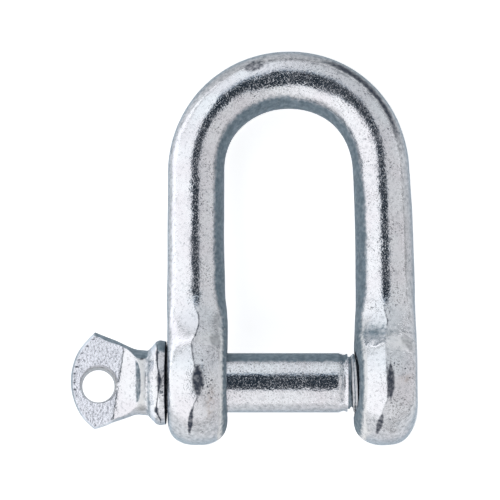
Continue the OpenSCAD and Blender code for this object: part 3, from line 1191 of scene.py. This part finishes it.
    def build(self) -> Piece:
        """Builds the bow with both bores, laid as it rests, on the bow's body.

        Returns:
            The bow.
        """
        worked = self.forged(self.rings())
        piece = grid_object("bow_forging", turned_about_x(worked, -self.tilt), Ends.POLES)
        plain = -0.5 * (self.jaw_w + self.plain_lug_t)
        tapped = 0.5 * (self.jaw_w + self.tapped_lug_t)
        bores = [self.bore("plain_bore", plain, 0.5 * self.plain_lug_t, self.plain_bore_r),
                 self.bore("tapped_bore", tapped, 0.5 * self.tapped_lug_t, self.tapped_bore_r)]
        cut(piece, bores, self.sharp_deg)
        self.note_traits(piece)
        piece.data.materials.append(self.finish.material())
        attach(piece, Body.BOW.value)
        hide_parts("bow")
        return piece


@dataclass
class TappedThread:
    """Thread cut in the tapped lug, a ring that lines its bore. Sizes in millimetres."""

    finish: ZincFinish
    from_x: float = 11.35
    to_x: float = 20.75
    crest_r: float = 4.98
    root_r: float = 5.36
    back_r: float = 5.46
    pitch: float = 1.5
    rows: int = 84
    columns: int = 96
    sharp_deg: float = 30.0

    def rings(self) -> Array:
        """Inner surface x, r(x, angle) with a helical vee between crest and root, then back outside.

        Returns:
            Grid of places, closed end to end.
        """
        around = np.linspace(0.0, 2.0 * math.pi, self.columns, endpoint=False)[None, :]
        x = np.linspace(self.from_x, self.to_x, self.rows)[:, None]
        phase = np.mod(x / self.pitch - around / (2.0 * math.pi) + 0.5, 1.0)
        radius = mix(self.crest_r, self.root_r, np.clip(np.abs(2.0 * phase - 1.0) * 1.6 - 0.3, 0.0, 1.0))
        back = np.array([[self.to_x], [self.from_x]])
        x_all = np.vstack([x, back])
        r_all = np.vstack([radius, np.full((2, around.size), self.back_r)])
        grid = x_all, r_all * np.cos(around), r_all * np.sin(around)
        return np.stack(np.broadcast_arrays(*grid), axis=-1)

    def build(self) -> Piece:
        """Builds the ring of thread on the bow's body.

        Returns:
            The ring.
        """
        piece = grid_object("tapped_thread", self.rings(), Ends.LOOP)
        piece.data.set_sharp_from_angle(angle=math.radians(self.sharp_deg))
        piece.data.materials.append(self.finish.material())
        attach(piece, Body.BOW.value)
        return piece


@dataclass
class ScrewPin:
    """Screw pin: threaded end, shank, collar and flattened eye head in one. Sizes in millimetres."""

    finish: ZincFinish
    tilt: float
    shank_r: float = 5.0
    thread_r: float = 4.9
    thread_depth: float = 0.85
    pitch: float = 1.5
    thread_at: float = 10.65
    tip_x: float = 20.9
    tip_chamfer: float = 0.9
    shoulder_x: float = 9.6
    lip_r: float = 4.93
    waist_r: float = 4.74
    waist_x: tuple[float, float] = (8.85, 9.1)
    shank_end_x: float = 8.1
    runout_w: float = 0.4
    runout_depth: float = 0.5
    seat_x: float = -20.95
    seat_r: float = 7.0
    collar_r: float = 7.27
    crest_x: float = -22.35
    foot_x: float = -24.0
    collar_rounds: tuple[float, float, float] = (0.15, 1.2, 0.5)
    # Dark line along the collar's crest: height, place along the pin and half width
    crest_wear: Course = (
        (-6.2, -21.75, 0.05), (-5.8, -21.8, 0.20), (-5.3, -22.1, 0.05), (-4.4, -22.4, 0.42),
        (-3.6, -22.35, 0.13), (-1.8, -22.1, 0.06), (-0.6, -21.9, 0.24), (0.8, -21.8, 0.48),
        (2.0, -21.95, 0.15), (3.3, -22.2, 0.11), (5.3, -22.3, 0.26), (6.0, -22.3, 0.05))
    neck_spot: tuple[float, float] = (-24.9, 4.1)
    neck_r: float = 5.45
    flare_x: float = -25.95
    flare_fillet: float = 4.0
    corner_x: float = -32.95
    blade_r: float = 8.2
    end_x: float = -37.05
    blade_half: float = 2.3
    ramp_x: float = -28.8
    ramp_r: float = 3.9
    edge_round: float = 0.22
    ramp_slant: float = 0.155
    ramp_pitch: float = 0.22
    barrel: tuple[float, float] = (0.06, 0.035)
    head_lift: float = 0.28
    blade_turn: float = 5.0
    eye_x: float = -32.43
    eye_y: float = -0.79
    eye_r: tuple[float, float] = (2.70, 2.97)
    eye_lean: tuple[float, float] = (0.052, 0.061)
    eye_chamfer: float = 0.25
    wave_length: float = 3.0
    wave_height: float = 0.05
    columns: int = 192
    sharp_deg: float = 38.0

    @property
    def end_rise(self) -> float:
        """How far the blade's end stands out past its corners."""
        return self.corner_x - self.end_x

    @property
    def end_arc_r(self) -> float:
        """Radius of the arc through the blade's corners and its end."""
        return (self.blade_r ** 2 + self.end_rise ** 2) / (2.0 * self.end_rise)

    def outline(self) -> Array:
        """Half outline (x, radius) of the turned pin, from the threaded tip to the blade's end.

        Straight lines and touching arcs in order: tip chamfer, thread, run-out, lip, waist, shank,
        collar, cone, neck, flare, and the arc of the blade's end.

        Returns:
            Points of the outline, close together where the shape turns.
        """
        root = self.thread_r - self.runout_depth
        tip = (self.tip_x, self.thread_r - self.tip_chamfer)
        thread_start = (self.tip_x - self.tip_chamfer, self.thread_r)
        thread_end = (self.shoulder_x + self.runout_w + self.runout_depth, self.thread_r)
        runout = (self.shoulder_x + self.runout_w, root)
        shoulder_foot = (self.shoulder_x, root)
        lip = (self.shoulder_x - 0.05, self.lip_r)
        waist_end = (self.waist_x[1], self.waist_r)
        waist = (self.waist_x[0], self.waist_r)
        shank_end = (self.shank_end_x, self.shank_r)
        shank_seat = (self.seat_x, self.shank_r)
        seat = (self.seat_x, self.seat_r)
        crest = (self.crest_x, self.collar_r)
        foot = (self.foot_x, self.neck_r)
        flare = (self.flare_x, self.neck_r)
        corner = (self.corner_x, self.blade_r)
        edge = rounded(shank_seat, seat, crest, self.collar_rounds[0], 5)
        brow = rounded(seat, crest, foot, self.collar_rounds[1], 16)
        hollow = rounded(crest, foot, flare, self.collar_rounds[2], 7)
        flank = rounded(foot, flare, corner, self.flare_fillet, 14)
        reach = math.atan2(self.blade_r, self.end_arc_r - self.end_rise)
        sweep = reach * (1.0 - np.linspace(0.0, 0.985, 46))
        inset, across = self.end_arc_r * (1.0 - np.cos(sweep)), self.end_arc_r * np.sin(sweep)
        straights = (
            ((self.tip_x, 0.2), 0.5), (tip, 0.18), (thread_start, 0.08), (thread_end, 0.12), (runout, 0.15),
            (shoulder_foot, 0.15), (lip, 0.1), (waist_end, 0.1), (waist, 0.15), (shank_end, 0.6),
            (shank_seat, 0.4))
        ends = [point for point, _ in straights[1:]] + [edge[0]]
        line = [along(start, end, step) for (start, step), end in zip(straights, ends)]
        joins = (brow[0], hollow[0], flank[0], corner)
        for arc, join, step in zip((edge, brow, hollow, flank), joins, (0.15, 0.15, 0.12, 0.16)):
            line += [arc, along(arc[-1], join, step)[1:]]
        return np.concatenate([*line, np.stack([self.end_x + inset, across], axis=-1)])

    def off_crest(self, x: Array, around: Array) -> Array:
        """How far places lie from the thread's crest: 0 on it to 1 midway between two.

        The turns of the thread are x / pitch less the share of a turn round the pin.

        Args:
            x: Places along the pin.
            around: Angles round it.

        Returns:
            The share of half a pitch.
        """
        turns = (x - self.thread_at) / self.pitch - around / (2.0 * math.pi) + 0.75
        return np.abs(2.0 * np.mod(turns, 1.0) - 1.0)

    def thread(self, x: Array, around: Array) -> Array:
        """Radius of the helical thread: flat crests with vees between, worked out from off_crest.

        A crest faces up at thread_at, and a thin seam runs along it, as rolled threads have.

        Args:
            x: Places along the pin.
            around: Angles round it.

        Returns:
            Radius at each place, from root to crest.
        """
        off_crest = self.off_crest(x, around)
        cut_share = np.clip(off_crest * 3.4 - 1.75, 0.0, 1.0) + 0.1 * bell(off_crest, 0.0, 0.09)
        return self.thread_r - self.thread_depth * cut_share

    def ramp_start(self, y: Array) -> Array:
        """Place along the pin where the ramp starts, on a line that slants across the head."""
        return self.ramp_x + self.ramp_slant * y

    def flat_height(self, x: Array, y: Array) -> Array:
        """Half height left by the two flats: the blade's half, then a hollow ramp up to the neck.

        The ramp is an arc that climbs to the neck's radius, blended with a straight line so that it
        starts with a crease.

        Args:
            x: Places along the pin.
            y: Places across the head.

        Returns:
            The height at which the head is cut off, very large past the ramp.
        """
        climb = self.neck_r - self.blade_half
        run = math.sqrt(climb * (2.0 * self.ramp_r - climb))
        start, end = self.ramp_start(y), self.ramp_x + run
        share = np.clip((x - start) / (end - start), 0.0, 1.0)
        arc = self.ramp_r - np.sqrt(self.ramp_r ** 2 - (share * run) ** 2)
        ramp = self.blade_half + mix(arc, climb * share, self.ramp_pitch)
        return np.where(x > end, 1.0e3, ramp)

    def rings(self) -> Array:
        """The turned outline with its thread, forged head and flats, about the X axis.

        Returns:
            Grid of places from the tip to the blade's end.
        """
        line = self.outline()
        around = np.linspace(0.0, 2.0 * math.pi, self.columns, endpoint=False)[None, :]
        x, radius = line[:, :1], line[:, 1:]
        threaded = x > self.shoulder_x + self.runout_w
        radius = np.where(threaded, np.minimum(radius, self.thread(x, around)), radius)
        rings = np.stack(np.broadcast_arrays(x, radius * np.cos(around), radius * np.sin(around)), axis=-1)
        head = fade(rings[..., 0], self.seat_x - 1.05, self.seat_x)
        uneven = plane_waves(rings, self.wave_length, count=14, seed=3) * self.wave_height * head
        swell = 1.0 + uneven / np.maximum(radius, self.shank_r)
        x, y, z = np.moveaxis(rings * np.stack([np.ones_like(swell), swell, swell], axis=-1), -1, 0)
        flat = self.flat_height(x, y)
        z = np.sign(z) * smooth_min(np.abs(z), flat, self.edge_round)
        blade = fade(x, self.ramp_x - 2.2, self.ramp_x + 1.8)
        bulge = (z / self.blade_half) ** 2 * blade
        x = np.where(x < self.eye_x, self.eye_x + (x - self.eye_x) * (1.0 - self.barrel[0] * bulge), x)
        y = y * (1.0 - self.barrel[1] * bulge) + self.head_lift * fade(x, self.foot_x - 6.0, self.foot_x)
        return np.stack([x, y, z], axis=-1)

    def arc_depth(self, x: Array, y: Array) -> Array:
        """How far places of the blade lie inside the arc of its end, by the arc's own centre."""
        return self.end_arc_r - np.hypot(x - self.end_x - self.end_arc_r, y)

    def eye_cutter(self, turn: float) -> Piece:
        """Cutter of the punched eye: a taper that leans a little and flares at its upper mouth.

        Args:
            turn: Angle of the blade about the pin in degrees.

        Returns:
            The cutter.
        """
        low_r, top_r = self.eye_r
        mouth = self.blade_half - self.eye_chamfer
        past = 1.5
        profile = np.array([[-self.blade_half - past, low_r], [-mouth, low_r],
                            [mouth, top_r], [mouth + past, top_r + past]])
        place = turned_about_x(np.array([self.eye_x, self.eye_y + self.head_lift, 0.0]), turn)
        return turned_about_line("eye", profile, place, turned_about_x(np.array([*self.eye_lean, 1.0]), turn))

    def in_eye(self, skin: Skin) -> Array:
        """Share of the eye's wall: near the eye's middle, where faces are steep.

        Args:
            skin: The pin's vertices.

        Returns:
            0 for none to 1 for full.
        """
        x, y, _ = skin.places.T
        from_eye = np.hypot(x - self.eye_x, y - self.eye_y - self.head_lift)
        return fade(from_eye, 3.2, 3.4) * fade(np.abs(skin.normals[:, 2]), 0.6, 0.85)

    def crest_painted_highlights(self, skin: Skin) -> Array:
        """Share of pale matt metal on the thread's crests, a painted highlight, on both sides of their thin
        seam.

        Args:
            skin: The pin's vertices.

        Returns:
            0 for none to 1 for full.
        """
        x, y, z = skin.places.T
        off_crest = self.off_crest(x, np.arctan2(z, y))
        crest = fade(off_crest, 0.56, 0.66) * (1.0 - bell(off_crest, 0.0, 0.13))
        return crest * ease(x - self.thread_at, -0.55, -0.4) * ease(np.hypot(y, z), 4.2, 4.5)

    def painted_root_shadow(self, skin: Skin) -> Array:
        """Share of painted shadow between the threads: full in the first groove, half in the others.

        Args:
            skin: The pin's vertices.

        Returns:
            0 for none to 1 for full.
        """
        x, y, z = skin.places.T
        past = x - self.thread_at
        grooves = 0.5 * fade(np.hypot(y, z), 4.4, 4.7) * ease(past, 0.0, 0.4)
        grooves *= fade(x, self.tip_x - 1.0, self.tip_x - 0.3)
        return np.maximum(window(past, (0.45, 0.6), (0.9, 1.8)), grooves)

    def collar_wear_and_shadow(self, skin: Skin) -> Array:
        """Share of dark metal at the collar: painted shadow on its seat, bare metal in a Gaussian along
        crest_wear and in a spot on the neck.

        Args:
            skin: The pin's vertices.

        Returns:
            0 for none to 1 for full.
        """
        x, y, _ = skin.places.T
        nx, _, nz = skin.normals.T
        heights, crests, halves = np.array(self.crest_wear).T
        line = bell(x, np.interp(y, heights, crests), np.interp(y, heights, halves))
        spot = bell(x, self.neck_spot[0], 0.4) * bell(y, self.neck_spot[1], 0.22)
        # Painted shadow of the gap between the collar's seat and the lug
        seat = ease(nx, 0.3, 0.6) * window(x - self.seat_x, (-0.65, -0.35), (0.45, 0.95))
        return np.maximum(seat, np.maximum(line, spot) * ease(nz, 0.2, 0.4))

    def end_dashes(self, skin: Skin) -> Array:
        """Share of the dark dashes inside the blade's end, where the sum of two sines of y runs high.

        Args:
            skin: The pin's vertices.

        Returns:
            0 for none to 1 for full.
        """
        x, y, _ = skin.places.T
        inside = self.arc_depth(x, y - self.head_lift)
        broken = ease(np.sin(5.2 * y) + 0.6 * np.sin(11.3 * y + 1.0), 0.1, 1.0)
        return 0.8 * bell(inside, 0.80, 0.28) * broken * ease(y, -3.0, -1.0)

    def note_traits(self, piece: Piece) -> None:
        """Notes the traits of the pin's plating.

        It has blue-grey painted shade on faces that look towards the crown, on the ramp's steep end, in the
        collar's fillet and on the screw; grey painted shade below and in the eye, and a darker blade's end;
        matt on the blade, the neck, the cone and the thread's crests, where the pale matt metal of the neck,
        cone and crests is a painted highlight; grained on the blade's flats; gritty on the shank.

        Args:
            piece: The finished pin.
        """
        skin = Skin.of(piece)
        (x, y, _), (nx, ny, nz) = skin.places.T, skin.normals.T
        blade = ease(self.ramp_start(y) - x, -0.1, 0.3)
        neck = window(x, (self.flare_x - 0.4, self.flare_x + 1.2), (self.foot_x - 0.8, self.foot_x))
        cone = window(x, (self.foot_x + 0.4, self.foot_x + 0.9), (self.crest_x, self.crest_x + 0.3))
        ramp = ease(-nx, 0.66, 0.80) * fade(x, self.flare_x + 0.8, self.flare_x + 1.0) * (1.0 - blade)
        fillet = bell(x, self.foot_x + 0.3, 0.4)
        shank = ease(x, self.seat_x - 1.2, self.seat_x)
        screw = ease(x, self.shoulder_x - 0.02, self.shoulder_x + 0.02)
        crests = self.crest_painted_highlights(skin)
        in_eye = self.in_eye(skin)
        above = ease(nz, 0.3, 0.6)
        flats = blade * ease(np.abs(nz), 0.35, 0.7) * (1.0 - in_eye)
        # Blue-grey painted shade on the screw, off its crests
        screw_shade = 0.75 * screw * (1.0 - 0.85 * crests)
        # Blue-grey painted shade: towards the crown, on the ramp's end, in the fillet and on the screw
        painted_shade = strongest(ease(ny, 0.66, 0.80), 0.78 * ramp, 0.58 * fillet, screw_shade)
        # Grey painted shade on the lower side
        lower = mix(0.58, 0.3, blade) * ease(-ny, 0.58, 0.74)
        end = 0.6 * blade * ease(-nx, 0.70, 0.90)
        dashes = self.end_dashes(skin) * blade * above
        # Matt flats and eye wall; the pale matt crests, neck top and cone top are painted highlights
        matt = strongest(0.25 * flats, 0.75 * crests, neck * above, 0.2 * cone * above, 0.5 * in_eye)
        note(piece, {
            Trait.PAINTED_SHADE: painted_shade * (1.0 - in_eye),
            Trait.WORN_AND_SHADE: strongest(lower, end, 0.6 * in_eye),
            Trait.BARE_AND_SHADE: strongest(self.collar_wear_and_shadow(skin), self.painted_root_shadow(skin), dashes),
            Trait.MATT_AND_HIGHLIGHT: matt,
            Trait.GRIT: shank * mix(0.5, 0.9, ease(ny, -0.2, 0.2)) + 0.08,
            Trait.GRAIN: flats})

    def build(self) -> Piece:
        """Builds the pin with its eye, turned as it is screwed home, on the pin's body.

        Returns:
            The pin.
        """
        turn = self.blade_turn - self.tilt
        piece = grid_object("screw_pin_forging", turned_about_x(self.rings(), turn), Ends.POLES)
        cut(piece, [self.eye_cutter(turn)], self.sharp_deg)
        self.note_traits(piece)
        piece.data.materials.append(self.finish.material())
        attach(piece, Body.PIN.value)
        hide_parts("screw_pin")
        return piece


@dataclass
class Studio:
    """Pale floor, soft light tent and the photo's camera. Sizes in millimetres."""

    floor_z: float
    aim: tuple[float, float] = (-6.828, 22.404)
    distance: float = 366.243
    pitch: float = 0.98
    focal_px: float = 2169.04
    frame_px: int = 500
    sensor: float = 36.0
    floor_half: float = 2500.0
    floor_colour: Colour = (0.88, 0.88, 0.88)
    floor_lift: float = 0.62
    slot_x: tuple[float, float] = (-0.27, 0.25)
    slot_y: tuple[float, float] = (-0.42, 0.58)
    slot_soft: float = 0.04
    slot_dark: float = 0.045
    side_light: tuple[float, float] = (1.12, 0.73)
    rear_light: float = 0.92
    foot_light: float = 0.6
    rear_tint: Colour = (0.94, 0.98, 1.0)
    slot_tint: Colour = (0.48, 0.72, 1.0)

    def camera(self) -> None:
        """Sets the camera where the photo was taken from: above, tipped a little towards the crown."""
        lens = bpy.data.cameras.new("photo_view")
        lens.sensor_width = self.sensor
        lens.lens = self.focal_px / self.frame_px * self.sensor
        lens.clip_start = 0.01
        eye = bpy.data.objects.new("photo_view", lens)
        tip = math.radians(self.pitch)
        back = np.array([0.0, -math.sin(tip), math.cos(tip)])
        spot = (np.array([*self.aim, 0.0]) + back * self.distance) * MM
        eye.matrix_world = Matrix(((1.0, 0.0, 0.0, spot[0]), (0.0, math.cos(tip), back[1], spot[1]),
                                   (0.0, math.sin(tip), back[2], spot[2]), (0.0, 0.0, 0.0, 1.0)))
        bpy.context.scene.collection.objects.link(eye)
        bpy.context.scene.camera = eye

    def floor(self) -> None:
        """Lays the pale floor under the shackle; camera and mirror rays see it lifted to white."""
        side = np.linspace(-self.floor_half, self.floor_half, 9)
        x, y = np.meshgrid(side, side, indexing="ij")
        points = np.stack([x, y, np.full_like(x, self.floor_z)], axis=-1).reshape(-1, 3)
        index = np.arange(x.size).reshape(x.shape)
        quads = np.stack([index[:-1, :-1], index[1:, :-1], index[1:, 1:], index[:-1, 1:]], axis=-1)
        mesh = bpy.data.meshes.new("floor")
        mesh.from_pydata((points * MM).tolist(), [], quads.reshape(-1, 4).tolist())
        ground = bpy.data.objects.new("floor", mesh)
        bpy.context.scene.collection.objects.link(ground)
        made = bpy.data.materials.new("floor_white")
        made.use_nodes = True
        graph = NodeGraph(made.node_tree)
        matt = graph.add("ShaderNodeBsdfDiffuse")
        matt.inputs["Color"].default_value = (*self.floor_colour, 1.0)
        ray = graph.add("ShaderNodeLightPath").outputs
        seen = graph.sum("MAXIMUM", ray["Is Camera Ray"], ray["Is Glossy Ray"])
        seen = graph.sum("MAXIMUM", seen, ray["Is Transmission Ray"])
        lift = graph.add("ShaderNodeEmission")
        graph.feed(lift.inputs["Strength"], graph.sum("MULTIPLY", seen, self.floor_lift))
        both = graph.add("ShaderNodeAddShader")
        graph.feed(both.inputs[0], matt.outputs["BSDF"])
        graph.feed(both.inputs[1], lift.outputs["Emission"])
        graph.feed(graph.add("ShaderNodeOutputMaterial").inputs["Surface"], both.outputs["Shader"])
        mesh.materials.append(made)
        ground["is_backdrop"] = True

    def tent(self) -> None:
        """Lights the scene with a soft tent: white to the left and front, duller behind, open on top.

        Brightness is side(x) times rear(y), is dim at the foot of the rear wall, and falls to slot_dark
        in the opening overhead.
        """
        world = bpy.data.worlds.new("light_tent")
        bpy.context.scene.world = world
        world.use_nodes = True
        graph = NodeGraph(world.node_tree)
        split = graph.add("ShaderNodeSeparateXYZ")
        graph.feed(split.inputs["Vector"], graph.add("ShaderNodeTexCoord").outputs["Generated"])
        x, y, z = (split.outputs[axis] for axis in "XYZ")
        foot = graph.sum("MULTIPLY", graph.ranged(z, 0.05, 0.28, 1.0, 0.0), graph.ranged(y, 0.25, 0.75))
        dim = graph.ranged(foot, 0.0, 1.0, 1.0, self.foot_light)
        side = graph.sum("MULTIPLY", graph.ranged(x, -0.4, 0.5, *self.side_light), dim)
        rear = graph.ranged(y, 0.25, 0.85, 1.0, self.rear_light)
        soft = self.slot_soft
        left = graph.ranged(x, self.slot_x[0] - soft, self.slot_x[0] + soft, 1.0, 0.0)
        right = graph.ranged(x, self.slot_x[1] - soft, self.slot_x[1] + soft)
        front = graph.ranged(y, self.slot_y[0] - soft, self.slot_y[0] + soft, 1.0, 0.0)
        behind = graph.ranged(y, self.slot_y[1] - 3.0 * soft, self.slot_y[1] + 3.0 * soft)
        clear = graph.sum("MAXIMUM", graph.sum("MAXIMUM", left, right), graph.sum("MAXIMUM", front, behind))
        level = graph.sum("MULTIPLY", graph.sum("MULTIPLY", side, rear),
                          graph.sum("MAXIMUM", clear, self.slot_dark))
        tone = graph.blend(graph.ranged(y, 0.1, 0.7), (1.0, 1.0, 1.0), self.rear_tint)
        tone = graph.blend(clear, self.slot_tint, tone)
        sky = graph.add("ShaderNodeBackground")
        graph.feed(sky.inputs["Color"], tone)
        graph.feed(sky.inputs["Strength"], level)
        graph.feed(graph.add("ShaderNodeOutputWorld").inputs["Surface"], sky.outputs["Background"])

    def build(self) -> None:
        """Sets the floor, the light, the camera and plain colour handling."""
        self.floor()
        self.tent()
        self.camera()
        bpy.context.scene.view_settings.view_transform = "Standard"


def main() -> None:
    """Builds the shackle piece by piece, then the studio."""
    cad_low, cad_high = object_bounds()
    bow = Bow(ZincFinish("bow_zinc_plating"))
    pin = ScrewPin(ZincFinish("pin_zinc_plating"), tilt=bow.tilt)
    thread = TappedThread(ZincFinish("thread_zinc_plating"))
    for part in (bow, pin, thread):
        piece = part.build()
        LOG.info("%s: %d faces", piece.name, len(piece.data.polygons))
    Studio(floor_z=cad_low.z / MM).build()


if __name__ == "__main__":
    logging.basicConfig(level=logging.INFO)
    main()
